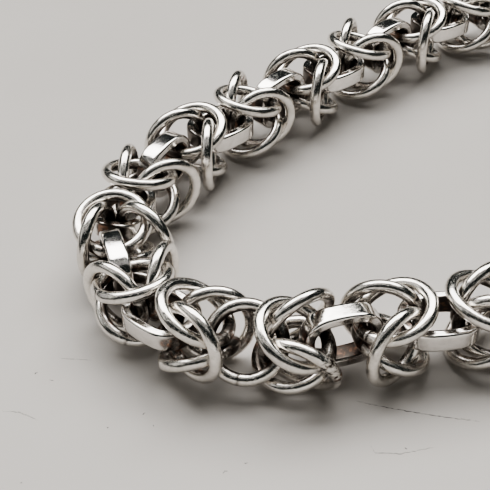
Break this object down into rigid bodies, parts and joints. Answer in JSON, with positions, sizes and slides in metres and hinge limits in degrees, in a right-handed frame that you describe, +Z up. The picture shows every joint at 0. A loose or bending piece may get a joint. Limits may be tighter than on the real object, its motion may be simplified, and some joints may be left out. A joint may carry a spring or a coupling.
{
  "type": "byzantine chain",
  "caption": "Closed silver necklace chain in byzantine weave: knots of round wire rings joined by flat rounded links, lying in a loop on a surface.",
  "frame": {"origin": "middle of the loop's footprint at the surface it lies on", "axes": "+X along the loop towards the clasp, +Y across the loop towards its back stretch, +Z up from the surface"},
  "size_m": [0.2124, 0.111, 0.0106],
  "materials": {
    "round_wire": "polished silver, worn",
    "flat_strip": "polished silver, worn, dull at the joints",
    "clasp_bar": "polished silver"
  },
  "bodies": {
    "root": {"knot_rings": "round_wire", "flat_links": "flat_strip", "clasp": "clasp_bar"}
  },
  "joints": []
}
